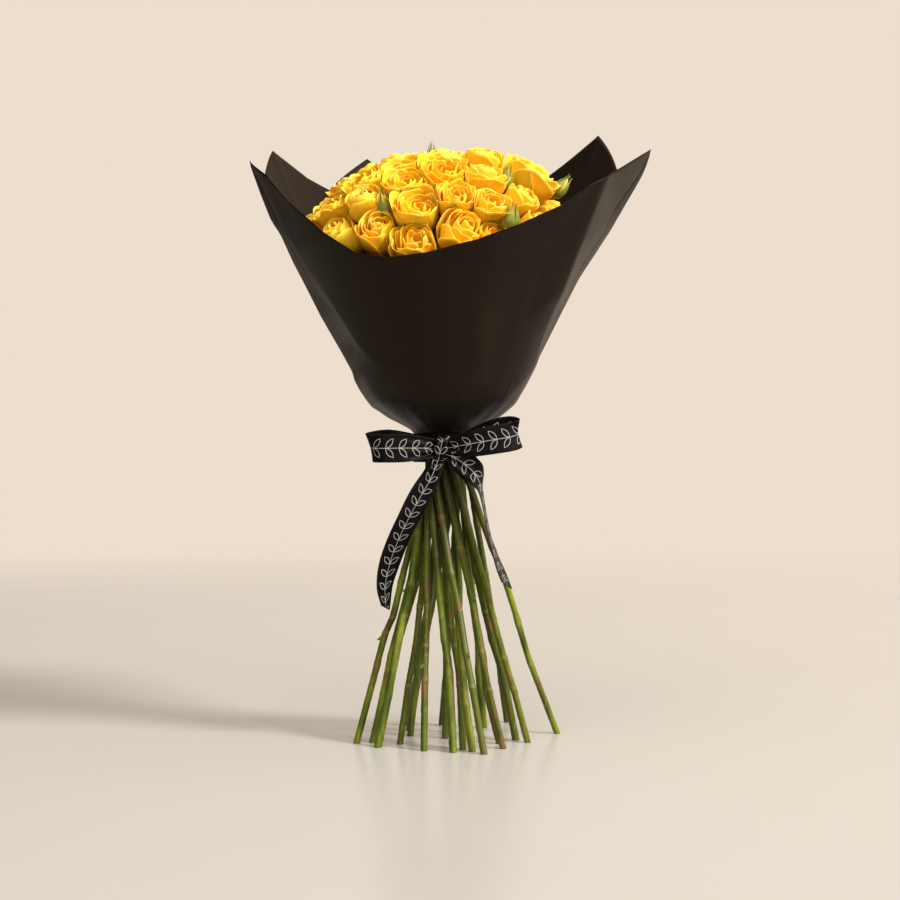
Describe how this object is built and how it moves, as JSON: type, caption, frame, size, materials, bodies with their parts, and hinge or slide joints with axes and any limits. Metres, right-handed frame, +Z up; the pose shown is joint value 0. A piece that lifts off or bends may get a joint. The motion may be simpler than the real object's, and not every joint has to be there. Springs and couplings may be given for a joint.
{
  "type": "bunch of roses",
  "caption": "Hand-tied spiral bunch of yellow spray roses with green stems, wrapped in dark paper and tied with a black patterned ribbon bow.",
  "frame": {"origin": "cut end of the central stem, on the surface that the bunch stands on", "axes": "+Z up along the bunch, +X to the right and +Y away, seen from the side of the bow"},
  "size_m": [0.3228, 0.2863, 0.51],
  "materials": {
    "stems": "satin green bark, paler at the cut ends",
    "petals": "soft golden yellow petals, deeper orange in the folds",
    "paper": "matt brown-black wrapping paper",
    "ribbon": "black satin with a fine white leaf vine",
    "twine": "natural twine"
  },
  "bodies": {
    "root": {"spray_01_stem": "stems", "spray_01_roses": "petals", "spray_02_stem": "stems", "spray_02_roses": "petals", "spray_03_stem": "stems", "spray_03_roses": "petals", "spray_04_stem": "stems", "spray_04_roses": "petals", "spray_05_stem": "stems", "spray_05_roses": "petals", "spray_06_stem": "stems", "spray_06_roses": "petals", "spray_07_stem": "stems", "spray_07_roses": "petals", "spray_08_stem": "stems", "spray_08_roses": "petals", "spray_09_stem": "stems", "spray_09_roses": "petals", "spray_10_stem": "stems", "spray_10_roses": "petals", "spray_11_stem": "stems", "spray_11_roses": "petals", "spray_12_stem": "stems", "spray_12_roses": "petals", "spray_13_stem": "stems", "spray_13_roses": "petals", "spray_14_stem": "stems", "spray_14_roses": "petals", "spray_15_stem": "stems", "spray_15_roses": "petals", "spray_16_stem": "stems", "spray_16_roses": "petals", "spray_17_stem": "stems", "spray_17_roses": "petals", "spray_18_stem": "stems", "spray_18_roses": "petals", "spray_19_stem": "stems", "spray_19_roses": "petals", "spray_20_stem": "stems", "spray_20_roses": "petals", "spray_21_stem": "stems", "spray_21_roses": "petals", "spray_22_stem": "stems", "spray_22_roses": "petals", "spray_23_stem": "stems", "spray_23_roses": "petals", "paper_front": "paper", "paper_back": "paper", "paper_inner": "paper", "binding": "twine", "ribbon": "ribbon"}
  },
  "joints": []
}
